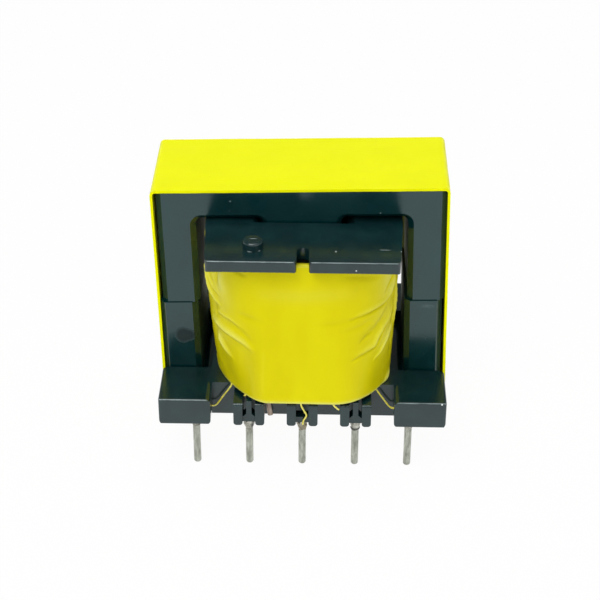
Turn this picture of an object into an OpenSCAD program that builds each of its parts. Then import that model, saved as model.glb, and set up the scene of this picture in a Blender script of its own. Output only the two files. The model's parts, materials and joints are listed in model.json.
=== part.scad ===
// Small vertical through-hole transformer: a ferrite EE core held by a tape band, on a moulded
// former with two rows of terminal pins, and a tape-wrapped winding whose leads run to the pins.
// X runs along the pin rows, Y across them (front is -Y) and Z up. The origin is the centre of the
// pin field on the circuit board's top face.

/* [Terminals] */
// Spacing of the pins in a row
pin_pitch = 5; // [4.6:0.1:6]
// Distance between the two rows of pins
row_gap = 20; // [19.6:0.2:24]
// Diameter of a pin
pin_d = 0.7; // [0.5:0.05:0.8]
// Length of a pin below the board's top face
pin_below = 3; // [2.5:0.05:5]

/* [Core] */
// Width of the core across its outer legs
core_w = 26.4; // [24:0.2:32]
// Thickness of the core, front to back
core_t = 10.2; // [8:0.2:12.4]
// Height of one half of the core
half_h = 11.5; // [9.5:0.1:14]
// Height of the bar that joins the three legs
bar_h = 2.75; // [2:0.05:3.4]
// Width of an outer leg
leg_w = 3.5; // [3:0.1:4]
// Width of the middle leg
mid_leg_w = 7.2; // [5.8:0.1:7.4]
// Width of the bevel along the edges of the legs
core_bevel = 0.5; // [0.1:0.05:0.6]
// Radius of the core's outer corners
outer_r = 0.25; // [0.15:0.05:1]
// Radius of the windows' corners
core_r = 0.6; // [0.3:0.1:1]

/* [How the core sits] */
// Angle by which the whole core leans to the left in the former
core_lean = 1.4; // [0:0.1:1.4]
// Sideways distance between the upper half and the lower half
half_shift = 0.25; // [0:0.05:0.25]
// Distance by which the lower half stands forward of the upper half
half_step = 0.12; // [0:0.02:0.2]
// Sideways distance between the core's centre and the former's centre
core_set = -0.15; // [-0.15:0.05:0.15]
// Height of the core's underside above the board
core_lift = 0.6; // [0.6:0.05:1.5]

/* [Core tape] */
// Width of the tape band round the core
band_w = 10; // [6:0.2:10.2]
// Thickness of the tape band
band_t = 0.25; // [0.15:0.05:0.25]

/* [Former] */
// Wall of the tube that the winding sits on
tube_wall = 0.7; // [0.5:0.05:0.9]
// Width of the upper flange between the core's legs
flange_w = 18; // [16:0.1:18.2]
// Width of the upper flange at its front and its back
flange_end_w = 17.2; // [15:0.1:17.6]
// Distance from the former's middle to the front of the upper flange
flange_front = 12.3; // [11:0.1:14]
// Distance from the former's middle to the back of the upper flange
flange_back = 11.8; // [11:0.1:14]
// Thickness of the upper flange
flange_t = 1.15; // [0.8:0.05:1.5]
// Thickness of the plate under the winding
plate_t = 1.05; // [0.8:0.05:1.5]
// Distance from a corner pin to the inner side of its block
pin_to_side = 1.4; // [1:0.05:1.6]
// Distance by which the corner blocks reach past the core's sides
block_over = 0.26; // [0:0.02:0.6]
// Height of a corner block
block_h = 2.8; // [2.4:0.1:3.4]
// Distance from a row of pins to the front of the corner blocks and ribs
pin_to_front = 0.8; // [0.6:0.05:1.2]
// Depth of the rail that joins the corner blocks
rail_d = 2.5; // [2:0.1:2.8]
// Distance by which the rails reach below the corner blocks
rail_drop = 0.77; // [0.3:0.01:1]
// Width of one wire-guide rib
rib_w = 0.86; // [0.6:0.02:1]
// Gap between the two ribs of a pair
rib_gap = 1.18; // [1.1:0.02:1.5]

/* [Winding] */
// Thickness of the inner winding
primary_t = 1.7; // [1:0.1:2]
// Thickness of the tape between the two windings
interlayer_t = 0.15; // [0.1:0.05:0.3]
// Thickness of the outer tape wrap
wrap_t = 0.3; // [0.2:0.05:0.5]
// Distance by which the winding's foot bulges past the fronts of the ribs
foot_bulge = 0.5; // [0.3:0.1:0.8]
// Diameter of a winding lead
lead_d = 0.16; // [0.1:0.02:0.24]

/* [Hidden] */
PINS_PER_ROW = 5;
LEAD_PINS = [1, 2, 3, 4, 5, 6, 10];
$fn = 48;

// Colours
ferrite = [0.20, 0.25, 0.26];
phenolic = [0.10, 0.17, 0.17];
tape_yellow = [0.90, 0.86, 0.05];
copper = [0.72, 0.42, 0.20];
tinned = [0.68, 0.68, 0.62];
enamel = [0.85, 0.80, 0.25];

// Clearances
seat = 0.01;       // between pieces that are pressed or glued together
wrap_slack = 0.07; // between the outer wrap and the winding in it
core_play = 0.09;  // between the leaning core and the former, at its tightest
end_gap = 0.05;    // between the winding and the flanges
cut = 0.1;         // how far a cutter runs past the face that it opens

// Places of the pins
corner_x = (PINS_PER_ROW - 1) / 2 * pin_pitch;
row_y = row_gap / 2;

// Plan of the former. Its tube clears the middle leg at both ends of the lean.
window_h = half_h - bar_h;
rise = sin(core_lean);
bore_w = mid_leg_w + half_shift + 2 * abs(core_set) + 2 * core_play + 2 * max(0, window_h * rise - half_shift);
bore_d = core_t + half_step + 2 * core_play;
bore_r = 0.3;
tube_w = bore_w + 2 * tube_wall;
tube_d = bore_d + 2 * tube_wall;
tube_r = 0.8;
plate_side = 0.9;      // between the plate and the core's outer legs
plate_x = core_w / 2 - leg_w - plate_side;
base_x = core_w / 2 + block_over;
base_front = row_y + pin_to_front;
rail_back = bore_d / 2 + core_play;
rail_front = rail_back + rail_d;
block_x0 = corner_x - pin_to_side;
block_w = base_x - block_x0;

// Levels above the board
join_z = core_lift + half_h;
plate_z0 = join_z - window_h + plate_x * rise + core_play / 2;
plate_z1 = plate_z0 + plate_t;
block_z0 = plate_z1 - block_h;
rail_z0 = block_z0 - rail_drop;
flange_z1 = join_z + window_h - flange_w / 2 * rise - core_play / 2;
flange_z0 = flange_z1 - flange_t;
coil_z0 = plate_z1 + end_gap;
coil_z1 = flange_z0 - end_gap;

// Rounding of the former's edges
corner_r = 0.45;
edge_r = 0.15;
block_side_r = 0.6;    // where a block's back meets the core's side
rib_r = 0.3;

// Wire guides: a pair of ribs, a footing that holds the pin and a post that stands on it
footing_h = 0.62;
footing_lift = 0.18;   // the footing's underside is above the ribs' feet
footing_d = 1.05;
footing_set = 0.35;    // the footing's front is behind the ribs' fronts
post_w = 0.5;
post_set = 0.06;       // the post stands forward of the footing
post_side = 0.05;      // between the post's foot and the ribs
post_in = 0.1;         // how far the post's foot is above the footing's underside
post_flare = 0.3;
post_over = 0.15;      // the post ends above the ribs
rib_top = 0.4;         // the ribs end this far below the plate's top face
rib_notch = [0.6, 0.8];
groove_w = 0.5;
groove_h = 0.75;
groove_in = 0.65;      // from the rail to the groove's middle, at its inner end

// The button and the notches of the upper flange
button_d = 1.85;
button_h = 0.8;
button_edge = 0.2;
button_pos = [-4.45, 2.55 - flange_front];
notch_w = 1.1;
notch_l = 2.55;

// Pins and solder. A pin's root in the former has flats, and only its free length is round.
tip_r = 0.22;
root_sides = 8;
corner_pin_in = 2.1;
pin_in = footing_h - 0.1;
solder_r = 0.52;
corner_solder_r = 0.47;
solder_h = 1;
corner_solder_h = 0.5;

// Plan of the wound coil at its foot and at its head: the half width on the left and on the right,
// the half depth, and how square the left and right corners are (2 is an ellipse, less is flatter).
foot_x = flange_end_w / 2 - 0.3;
foot_y = base_front + foot_bulge;
coil_foot = [foot_x, foot_x, foot_y, 1.45, 1.85];
coil_head = [flange_w / 2 + 0.4, flange_w / 2 - 0.1, flange_front - 1.4, 2.3, 2.3];
coil_flat_left = 3.3;
coil_flat_right = 3;
coil_flat_side = 4.5;
primary_r = tube_r + primary_t;
interlayer_w = tube_w + 2 * seat + 2 * primary_t;
interlayer_d = tube_d + 2 * seat + 2 * primary_t;
CORNER_STEPS = 9;
COIL_RINGS = 6;

// Routes of the leads, from the winding's foot to their pins. lead_top is where a lead leaves the winding.
lead_top = coil_z0 - seat;
lead_y = rail_front + 0.31;
slot_x = pin_pitch + 0.45;
stub_x = pin_pitch - rib_gap / 2 - rib_w;
tail_x = stub_x - 0.25;
foot_edge = foot_y - (foot_y - coil_flat_side) * (1 - pow(
    1 - pow((slot_x - coil_flat_left) / (foot_x - coil_flat_left), coil_foot[3]), 1 / coil_foot[3]));
slot_y = min(row_y - 0.25, foot_edge - 0.1);

// A corner lead starts beside the rail, enters the groove under the block and ends beside the pin
corner_start = [foot_x - 1.6, -lead_y];
groove_start = [block_x0 - cut, -rail_front - groove_in];
groove_end = [corner_x, -row_y];
function to_groove(t, z) = concat(mix(corner_start, groove_start, t), [z]);
function in_groove(t, z) = concat(mix(groove_start, groove_end, t), [block_z0 + z]);
corner_route = [
    to_groove(0, lead_top), to_groove(0, lead_top - 0.25), to_groove(0.33, lead_top - 1),
    to_groove(0.75, block_z0 + 0.95), in_groove(0.02, 0.55), in_groove(0.3, 0.4),
    in_groove(0.59, 0.1), in_groove(0.73, -0.3)
];
slot_route = [
    [-slot_x, -slot_y, lead_top], [-slot_x, -slot_y, lead_top - 0.3], [-slot_x, 0.05 - slot_y, lead_top - 1],
    [0.03 - slot_x, 0.6 - row_y, lead_top - 1.7], [0.1 - slot_x, 0.85 - row_y, block_z0 + 0.54],
    [0.22 - slot_x, 0.73 - row_y, block_z0 + 0.2], [0.32 - slot_x, 0.62 - row_y, block_z0 - 0.05]
];
middle_route = [
    [-0.12, 0.2 - foot_y, lead_top], [-0.12, 0.2 - foot_y, lead_top - 0.25],
    [0.15, -0.2 - base_front, lead_top - 0.9], [0.38, -0.05 - base_front, lead_top - 1.5],
    [0.3, 0.08 - base_front, lead_top - 1.95], [0.12, 0.18 - base_front, block_z0 + 0.49],
    [0.06, 0.2 - base_front, block_z0 + 0.09]
];
stub_route = [
    [stub_x - 0.7, 0.25 - foot_y, lead_top], [stub_x - 0.7, 0.25 - foot_y, lead_top - 0.2],
    [stub_x - 0.4, 0.35 - foot_y, lead_top - 0.55], [stub_x - 0.15, -base_front, lead_top - 0.9]
];
tail_route = [
    [-tail_x, -lead_y - 0.1, lead_top], [-tail_x, -lead_y - 0.1, lead_top - 0.4],
    [-tail_x, -lead_y - 0.1, lead_top - 1.6], [0.1 - tail_x, -lead_y - 0.1, block_z0 + 0.24],
    [0.22 - tail_x, -lead_y - 0.1, rail_z0 + 0.16]
];
LEAD_SIDES = 8;
LEAD_STEPS = 2;
tail_d = 0.4;

// ---- Small tools ----

function mix(a, b, t) = a + (b - a) * t;
function unit(v) = v / norm(v);

module mirror_copy(axis) {
    children();
    mirror(axis) children();
}

module rounded_rect(w, d, r) {
    square([w - 2 * r, d], center = true);
    square([w, d - 2 * r], center = true);
    for (x = [-1, 1], y = [-1, 1])
        translate([x * (w / 2 - r), y * (d / 2 - r)]) circle(r);
}

module rounded_slab(w, d, h, r) {
    linear_extrude(h) rounded_rect(w, d, r);
}

// A profile drawn in X and Z, given depth d along Y and centred on it
module across(d) {
    translate([0, d / 2, 0]) rotate([90, 0, 0]) linear_extrude(d) children();
}

// ---- Core ----

// One window of a half, open at the joining face; grow widens it for the bevelled mouth
module window_profile(grow = 0) {
    x0 = mid_leg_w / 2 - grow;
    x1 = core_w / 2 - leg_w + grow;
    top = window_h + grow;
    r = core_r + grow;
    translate([x0, -cut]) square([x1 - x0, top - r + cut]);
    translate([x0 + r, 0]) square([x1 - x0 - 2 * r, top]);
    for (x = [x0 + r, x1 - r]) translate([x, top - r]) circle(r);
}

module window_cutter() {
    across(core_t + 2 * cut) window_profile();
    for (side = [-1, 1]) hull() {
        translate([0, side * (core_t / 2 - core_bevel), 0]) across(0.01) window_profile();
        translate([0, side * (core_t / 2 + 0.01), 0]) across(0.01) window_profile(core_bevel);
    }
}

module bar_profile() {
    r = outer_r;
    translate([-core_w / 2, 0]) square([core_w, half_h - r]);
    translate([-core_w / 2 + r, 0]) square([core_w - 2 * r, half_h]);
    for (x = [-1, 1]) translate([x * (core_w / 2 - r), half_h - r]) circle(r);
}

module bevelled_plan() {
    x = core_w / 2;
    y = core_t / 2;
    b = core_bevel;
    polygon([[-x + b, -y], [x - b, -y], [x, -y + b], [x, y - b], [x - b, y], [-x + b, y], [-x, y - b], [-x, -y + b]]);
}

// One E-shaped half with its joining face at z = 0 and its bar above
module e_half() {
    difference() {
        intersection() {
            across(core_t) bar_profile();
            linear_extrude(half_h) bevelled_plan();
        }
        mirror_copy([1, 0, 0]) window_cutter();
    }
}

// Puts a piece drawn about the middle of the core where the leaning core stands
module in_core() {
    translate([core_set, 0, join_z]) rotate([0, -core_lean, 0]) children();
}

module core_upper() {
    color(ferrite) in_core() translate([half_shift / 2, half_step / 2, 0]) e_half();
}

module core_lower() {
    color(ferrite) in_core() translate([-half_shift / 2, -half_step / 2, 0]) mirror([0, 0, 1]) e_half();
}

module core_tape() {
    inner_w = core_w + half_shift + 2 * seat;
    inner_h = 2 * half_h + 2 * seat;
    color(tape_yellow) in_core() across(band_w) difference() {
        rounded_rect(inner_w + 2 * band_t, inner_h + 2 * band_t, outer_r + band_t);
        rounded_rect(inner_w, inner_h, outer_r);
    }
}

// ---- Former ----

// The bore's two mouths are bevelled to clear the fillets at the root of the middle leg
module tube_bore() {
    mouth = core_r + core_play;
    x = bore_w / 2;
    translate([0, 0, plate_z0 - cut]) rounded_slab(bore_w, bore_d, flange_z1 - plate_z0 + 2 * cut, bore_r);
    across(bore_d) polygon([
        [x, plate_z0 + mouth], [x + mouth, plate_z0], [x + mouth, plate_z0 - cut],
        [-x - mouth, plate_z0 - cut], [-x - mouth, plate_z0], [-x, plate_z0 + mouth]
    ]);
    across(bore_d) polygon([
        [x, flange_z1 - mouth], [x + mouth, flange_z1], [x + mouth, flange_z1 + cut],
        [-x - mouth, flange_z1 + cut], [-x - mouth, flange_z1], [-x, flange_z1 - mouth]
    ]);
}

// Notch in the rim at distance y from the middle, on the front
module flange_notch(y) {
    translate([0, -y, flange_z0 - cut]) linear_extrude(flange_t + 2 * cut) {
        translate([-notch_w / 2, -cut]) square([notch_w, notch_l - notch_w / 2 + cut]);
        translate([0, notch_l - notch_w / 2]) circle(d = notch_w);
        // the notch's mouth is rounded off
        for (s = [-1, 1]) difference() {
            translate([s * notch_w / 2 - corner_r, -cut]) square([2 * corner_r, corner_r + cut]);
            translate([s * (notch_w / 2 + corner_r), corner_r]) circle(corner_r);
        }
    }
}

// Plan of the flange's front half, as far as y: it narrows from the core towards its rounded corners
module flange_plan(y) {
    x = flange_end_w / 2;
    r = corner_r;
    polygon([
        [-flange_w / 2, 0], [-flange_w / 2, -core_t / 2], [-x, r - y], [r - x, -y],
        [x - r, -y], [x, r - y], [flange_w / 2, -core_t / 2], [flange_w / 2, 0]
    ]);
    for (s = [-1, 1]) translate([s * (x - r), r - y]) circle(r);
}

module flange_button() {
    r = button_d / 2 - button_edge;
    translate([button_pos.x, button_pos.y, flange_z1 - cut]) rotate_extrude() {
        square([button_d / 2, button_h - button_edge + cut]);
        square([r, button_h + cut]);
        translate([r, button_h - button_edge + cut]) circle(button_edge);
    }
}

// The plate's rims are rounded all round, above and below
module upper_flange() {
    depth = flange_front + flange_back;
    mid = [0, (flange_back - flange_front) / 2, (flange_z0 + flange_z1) / 2];
    difference() {
        intersection() {
            translate([0, 0, flange_z0]) linear_extrude(flange_t) {
                flange_plan(flange_front);
                mirror([0, 1]) flange_plan(flange_back);
            }
            translate(mid) across(depth + 2 * cut) rounded_rect(flange_w, flange_t, edge_r);
            translate(mid) rotate([0, 0, 90]) across(flange_w + 2 * cut) rounded_rect(depth, flange_t, edge_r);
        }
        flange_notch(flange_front);
        mirror([0, 1, 0]) flange_notch(flange_back);
    }
    flange_button();
}

// The rail stands in front of the core's lower bar and reaches below the corner blocks
module rail() {
    translate([-block_x0 - cut, -rail_front, rail_z0])
        cube([2 * (block_x0 + cut), rail_front - rail_back, plate_z1 - rail_z0]);
}

// Front view of a block: rounded along its bottom edges and its upper inner edge
module block_profile() {
    r = corner_r;
    translate([0, r]) square([block_w, block_h - r - edge_r]);
    translate([r, 0]) square([block_w - 2 * r, block_h]);
    translate([r, 0]) square([block_w - r - edge_r, block_h - r]);
    translate([r, block_h - 2 * r]) square([block_w - r - edge_r, 2 * r]);
    for (x = [r, block_w - r]) translate([x, r]) circle(r);
    translate([r, block_h - r]) circle(r);
    translate([block_w - edge_r, block_h - edge_r]) circle(edge_r);
}

// Side view of a block, with its front at x = 0: rounded along its front edges
module block_side(d) {
    translate([0, edge_r]) square([d, block_h - 2 * edge_r]);
    translate([edge_r, 0]) square([d - edge_r, block_h]);
    for (z = [edge_r, block_h - edge_r]) translate([edge_r, z]) circle(edge_r);
}

// Plan of a block: its two outer corners are rounded
module block_plan(d) {
    r = block_side_r;
    front_r = corner_r / 2;
    square([block_w - front_r, d - r]);
    translate([0, front_r]) square([block_w, d - r - front_r]);
    square([block_w - r, d]);
    translate([block_w - r, d - r]) circle(r);
    translate([block_w - front_r, front_r]) circle(front_r);
}

// Groove under a block that leads a wire from the inner side to the pin
module lead_groove() {
    run = groove_end - groove_start;
    translate([groove_start.x, groove_start.y, block_z0 - cut]) rotate([0, 0, atan2(run.y, run.x)])
        translate([0, -groove_w / 2, 0]) cube([norm(run), groove_w, groove_h + cut]);
}

module corner_block() {
    d = base_front - rail_back;
    difference() {
        union() {
            intersection() {
                translate([block_x0, -base_front / 2, block_z0]) across(base_front + 2 * cut) block_profile();
                translate([block_x0, -base_front, block_z0]) linear_extrude(block_h) block_plan(d);
                translate([block_x0 - cut, -base_front, block_z0]) rotate([90, 0, 90])
                    linear_extrude(block_w + 2 * cut) block_side(d);
            }
            // joins the block to the rail's end
            translate([block_x0 - cut, -rail_front, block_z0 + corner_r])
                cube([2 * corner_r, rail_front - rail_back, block_h - corner_r]);
        }
        lead_groove();
    }
}

// One rib of a wire guide: seen from the front it has a round foot; its top front edge is rounded too
module rib() {
    h = plate_z1 - rib_top - block_z0;
    d = base_front - rail_front;
    difference() {
        intersection() {
            translate([0, -rail_front - d / 2 + cut / 2, block_z0]) across(d + cut) {
                translate([-rib_w / 2, rib_r]) square([rib_w, h - rib_r]);
                translate([-rib_w / 2 + rib_r, 0]) square([rib_w - 2 * rib_r, h]);
                for (s = [-1, 1]) translate([s * (rib_w / 2 - rib_r), rib_r]) circle(rib_r);
            }
            translate([-rib_w / 2, -rail_front, block_z0]) rotate([90, 0, 90]) linear_extrude(rib_w) {
                translate([-d, 0]) square([d + cut, h - rib_r]);
                translate([rib_r - d, 0]) square([d - rib_r + cut, h]);
                translate([rib_r - d, h - rib_r]) circle(rib_r);
            }
        }
        // a wire can pass behind the rib's foot
        translate([-rib_w, -rail_front - rib_notch.x, block_z0 - cut])
            cube([2 * rib_w, rib_notch.x, rib_notch.y + cut]);
    }
}

// Front view of the post, which tapers from its foot between the ribs
module post_profile() {
    x = rib_gap / 2 - post_side;
    z1 = footing_lift + footing_h;
    top = plate_z1 - rib_top - block_z0 + post_over;
    polygon([
        [-x, footing_lift + post_in], [x, footing_lift + post_in], [x, z1], [post_w / 2, z1 + post_flare],
        [post_w / 2, top], [-post_w / 2, top], [-post_w / 2, z1 + post_flare], [-x, z1]
    ]);
}

// Holds the pin between its two ribs; with_post adds the narrow post above it
module footing(with_post) {
    half = rib_gap / 2 + cut;
    translate([0, -base_front + footing_set + footing_d / 2, block_z0]) {
        across(footing_d) translate([-half, footing_lift]) square([2 * half, footing_h]);
        if (with_post) translate([0, -post_set, 0]) across(footing_d) post_profile();
    }
}

module wire_guide(with_post) {
    for (s = [-1, 1]) translate([s * (rib_gap + rib_w) / 2, 0, 0]) rib();
    footing(with_post);
}

module front_terminals() {
    rail();
    mirror_copy([1, 0, 0]) corner_block();
    for (n = [2 : PINS_PER_ROW - 1]) translate([pin_place(n).x, 0, 0]) wire_guide(n != (PINS_PER_ROW + 1) / 2);
}

// Blind holes for the pins
module pin_holes() {
    for (n = [1 : 2 * PINS_PER_ROW]) translate(pin_place(n)) translate([0, 0, block_z0 - cut])
        cylinder(d = pin_d + 2 * seat, h = pin_top(n) + seat - block_z0 + cut);
}

module bobbin() {
    color(phenolic) difference() {
        union() {
            translate([0, 0, plate_z0]) rounded_slab(tube_w, tube_d, flange_z1 - plate_z0, tube_r);
            upper_flange();
            translate([-plate_x, -rail_front, plate_z0]) cube([2 * plate_x, 2 * rail_front, plate_t]);
            mirror_copy([0, 1, 0]) front_terminals();
        }
        tube_bore();
        pin_holes();
    }
}

// ---- Winding ----

// One quarter of the coil's plan, from the side round to the front, for the given half width a
function coil_corner(a, flat_x, b, power) = [
    for (i = [0 : CORNER_STEPS])
        let (t = 90 * i / CORNER_STEPS)
        [
            flat_x + (a - flat_x) * pow(abs(cos(t)), 2 / power),
            coil_flat_side + (b - coil_flat_side) * pow(abs(sin(t)), 2 / power)
        ]
];

function reversed(list) = [for (i = [len(list) - 1 : -1 : 0]) list[i]];

// A closed ring of points round the coil: t is 0 at its foot and 1 at its head
function coil_ring(t, inset) =
    let (
        p = [for (i = [0 : 4]) mix(coil_foot[i], coil_head[i], t)],
        left = coil_corner(p[0] - inset, coil_flat_left, p[2] - inset, p[3]),
        right = coil_corner(p[1] - inset, coil_flat_right, p[2] - inset, p[4]),
        z = mix(coil_z0, coil_z1, t)
    )
    concat(
        [for (q = right) [q.x, q.y, z]],
        [for (q = reversed(right)) [-q.x, q.y, z]],
        [for (q = left) [-q.x, -q.y, z]],
        [for (q = reversed(right)) [q.x, -q.y, z]]
    );

function coil_rings(inset) = [for (k = [0 : COIL_RINGS - 1]) coil_ring(k / (COIL_RINGS - 1), inset)];

function flatten(lists) = [for (list = lists) for (item = list) item];

// Two triangles between points i and i + 1 of ring k and of the ring after it
function ring_quads(rings, n, first, last) = [
    for (k = [first : last], i = [0 : n - 1])
        let (j = (i + 1) % n, a = k * n, b = ((k + 1) % rings) * n)
        each [[a + i, b + i, b + j], [a + i, b + j, a + j]]
];

// Solid through a stack of rings, with flat ends
module skin(rings) {
    n = len(rings[0]);
    last = len(rings) - 1;
    polyhedron(
        points = flatten(rings),
        faces = concat(
            ring_quads(last + 1, n, 0, last - 1),
            [[for (i = [0 : n - 1]) i]],
            [[for (i = [n - 1 : -1 : 0]) last * n + i]]
        ),
        convexity = 4
    );
}

// Wall between an outer stack of rings and an inner one
module skin_wall(outer, inner) {
    rings = concat(outer, reversed(inner));
    n = len(rings[0]);
    polyhedron(
        points = flatten(rings),
        faces = ring_quads(len(rings), n, 0, len(rings) - 1),
        convexity = 6
    );
}

module coil_layer(w, d, r, t) {
    translate([0, 0, coil_z0]) linear_extrude(coil_z1 - coil_z0) difference() {
        rounded_rect(w + 2 * t, d + 2 * t, r + t);
        rounded_rect(w, d, r);
    }
}

module primary_winding() {
    color(copper) coil_layer(tube_w + 2 * seat, tube_d + 2 * seat, tube_r, primary_t);
}

module interlayer_tape() {
    color(tape_yellow) coil_layer(interlayer_w, interlayer_d, primary_r, interlayer_t);
}

module secondary_winding() {
    t = interlayer_t;
    color(copper) difference() {
        skin(coil_rings(wrap_t + wrap_slack));
        translate([0, 0, coil_z0 - cut]) rounded_slab(
            interlayer_w + 2 * t, interlayer_d + 2 * t, coil_z1 - coil_z0 + 2 * cut, primary_r + t);
    }
}

module winding_wrap() {
    color(tape_yellow) skin_wall(coil_rings(0), coil_rings(wrap_t));
}

// ---- Pins, leads and solder ----

// Pins 1 to 5 run left to right along the front, 6 to 10 right to left along the back
function pin_place(n) =
    n <= PINS_PER_ROW ? [(n - 1) * pin_pitch - corner_x, -row_y, 0] :
    [(2 * PINS_PER_ROW - n) * pin_pitch - corner_x, row_y, 0];

function is_corner(n) = n % PINS_PER_ROW < 2;

function pin_foot(n) = block_z0 + (is_corner(n) ? 0 : footing_lift);

function pin_top(n) = pin_foot(n) + (is_corner(n) ? corner_pin_in : pin_in);

module pin(n) {
    shoulder = block_z0 + pin_below;
    color(tinned) translate(pin_place(n)) translate([0, 0, -pin_below]) {
        rotate_extrude() {
            translate([0, tip_r]) square([pin_d / 2, shoulder - tip_r]);
            square([pin_d / 2 - tip_r, shoulder]);
            intersection() {
                translate([pin_d / 2 - tip_r, tip_r]) circle(tip_r);
                square([pin_d, 2 * tip_r]);
            }
        }
        translate([0, 0, shoulder - cut]) rotate([0, 0, 180 / root_sides])
            cylinder(d = pin_d, h = pin_top(n) - block_z0 + cut, $fn = root_sides);
    }
}

// Solder round the root of a pin, thickest just below the former
module solder(n) {
    h = is_corner(n) ? corner_solder_h : solder_h;
    r = is_corner(n) ? corner_solder_r : solder_r;
    hole = pin_d / 2 + seat;
    color(tinned) translate(pin_place(n)) translate([0, 0, pin_foot(n) - seat]) rotate_extrude()
        polygon([
            [hole, 0], [r - 0.06, 0], [r, -0.15 * h], [r - 0.02, -0.35 * h], [r - 0.08, -0.6 * h],
            [hole + 0.04, -0.85 * h], [hole, -h]
        ]);
}

// A point on a smooth curve through four route points, between the middle two
function curve_point(p0, p1, p2, p3, t) =
    0.5 * (2 * p1 + (p2 - p0) * t + (2 * p0 - 5 * p1 + 4 * p2 - p3) * t * t
        + (3 * p1 - p0 - 3 * p2 + p3) * t * t * t);

// The first stretch of a route stays straight, so that the tube starts square to it
function smooth_route(route) =
    let (last = len(route) - 1)
    concat(
        [
            for (i = [0 : last - 1], k = [0 : i == 0 ? 0 : LEAD_STEPS - 1])
                curve_point(route[max(i - 1, 0)], route[i], route[i + 1], route[min(i + 2, last)], k / LEAD_STEPS)
        ],
        [route[last]]
    );

function route_tangent(path, i) = unit(path[min(i + 1, len(path) - 1)] - path[max(i - 1, 0)]);

// A direction square to the route at each of its points, carried along so that the tube isn't twisted
function carried(path, i, side) =
    let (t = route_tangent(path, i), s = unit(side - (side * t) * t))
    i == len(path) - 1 ? [s] : concat([s], carried(path, i + 1, s));

module tube_along(route, d) {
    path = smooth_route(route);
    sides = carried(path, 0, [1, 0, 0]);
    skin([
        for (i = [0 : len(path) - 1])
            let (s = sides[i], c = cross(route_tangent(path, i), s))
            [for (k = [0 : LEAD_SIDES - 1])
                let (a = -360 * (k + 0.5) / LEAD_SIDES)
                path[i] + d / 2 * (cos(a) * s + sin(a) * c)]
    ]);
}

function lead_route(n) =
    n == 2 ? slot_route :
    n == 3 ? middle_route :
    n == 4 ? stub_route :
    corner_route;

// Leads hang from the winding's foot; the corner leads are one shape, mirrored to each corner
module lead(n) {
    flip_x = n == 1 || n == 2 * PINS_PER_ROW ? 1 : 0;
    flip_y = n > PINS_PER_ROW ? 1 : 0;
    color(enamel) mirror([flip_x, 0, 0]) mirror([0, flip_y, 0]) tube_along(lead_route(n), lead_d);
}

module lead_tail() {
    color(tinned) tube_along(tail_route, tail_d);
}

core_upper();
core_lower();
core_tape();
bobbin();
primary_winding();
interlayer_tape();
secondary_winding();
winding_wrap();
for (n = [1 : 2 * PINS_PER_ROW]) pin(n);
for (n = LEAD_PINS) lead(n);
lead_tail();
for (n = LEAD_PINS) solder(n);
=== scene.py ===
import json
import math

import bmesh
import bpy
import numpy as np
from mathutils import Matrix, Vector, noise


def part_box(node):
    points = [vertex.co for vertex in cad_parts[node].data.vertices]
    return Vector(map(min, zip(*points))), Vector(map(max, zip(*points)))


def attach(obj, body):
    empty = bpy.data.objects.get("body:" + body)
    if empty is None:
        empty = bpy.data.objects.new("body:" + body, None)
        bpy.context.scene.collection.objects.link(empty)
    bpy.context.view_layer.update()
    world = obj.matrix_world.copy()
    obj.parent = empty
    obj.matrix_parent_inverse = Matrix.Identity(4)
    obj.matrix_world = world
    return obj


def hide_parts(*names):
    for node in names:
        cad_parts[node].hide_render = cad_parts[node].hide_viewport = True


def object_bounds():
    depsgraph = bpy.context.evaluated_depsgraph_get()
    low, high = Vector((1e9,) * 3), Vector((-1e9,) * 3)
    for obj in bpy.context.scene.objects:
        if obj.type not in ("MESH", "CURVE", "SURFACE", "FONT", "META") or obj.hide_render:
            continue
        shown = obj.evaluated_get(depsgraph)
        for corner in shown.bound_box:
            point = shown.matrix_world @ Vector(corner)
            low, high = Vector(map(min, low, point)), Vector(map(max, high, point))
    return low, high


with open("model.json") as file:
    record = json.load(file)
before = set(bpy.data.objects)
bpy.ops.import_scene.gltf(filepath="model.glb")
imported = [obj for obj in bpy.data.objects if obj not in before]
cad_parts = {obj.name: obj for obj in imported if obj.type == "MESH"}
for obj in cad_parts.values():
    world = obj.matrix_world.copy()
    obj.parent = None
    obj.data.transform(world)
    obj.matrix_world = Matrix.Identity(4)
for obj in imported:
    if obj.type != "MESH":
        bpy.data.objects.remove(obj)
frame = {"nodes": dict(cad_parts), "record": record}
cad_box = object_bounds()
nodes = frame["nodes"]

# Sizes and places below are in millimetres in the part's frame, unless they say metres.
MM = 0.001


# ---- camera -----------------------------------------------------------------------------------

CAM_AT = (0.002316, -0.135570, 0.093451)  # metres
CAM_YAW, CAM_PITCH, CAM_ROLL = -1.1725, 31.8909, 0.2065
CAM_LENS, CAM_SENSOR = 98.59, 36
CAM_NEAR = 0.005  # metres


def make_camera():
    yaw, pitch, roll = (math.radians(a) for a in (CAM_YAW, CAM_PITCH, CAM_ROLL))
    ahead = Vector((math.sin(yaw) * math.cos(pitch), math.cos(yaw) * math.cos(pitch), -math.sin(pitch)))
    right = Vector((math.cos(yaw), -math.sin(yaw), 0))
    up = right.cross(ahead)
    x = math.cos(roll) * right + math.sin(roll) * up
    y = math.cos(roll) * up - math.sin(roll) * right
    cam = bpy.data.objects.new("camera", bpy.data.cameras.new("camera"))
    bpy.context.collection.objects.link(cam)
    cam.matrix_world = Matrix.Translation(Vector(CAM_AT)) @ Matrix((x, y, -ahead)).transposed().to_4x4()
    cam.data.sensor_width = CAM_SENSOR
    cam.data.lens = CAM_LENS
    cam.data.clip_start = CAM_NEAR
    bpy.context.scene.camera = cam


make_camera()


# ---- node helpers -----------------------------------------------------------------------------

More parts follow.
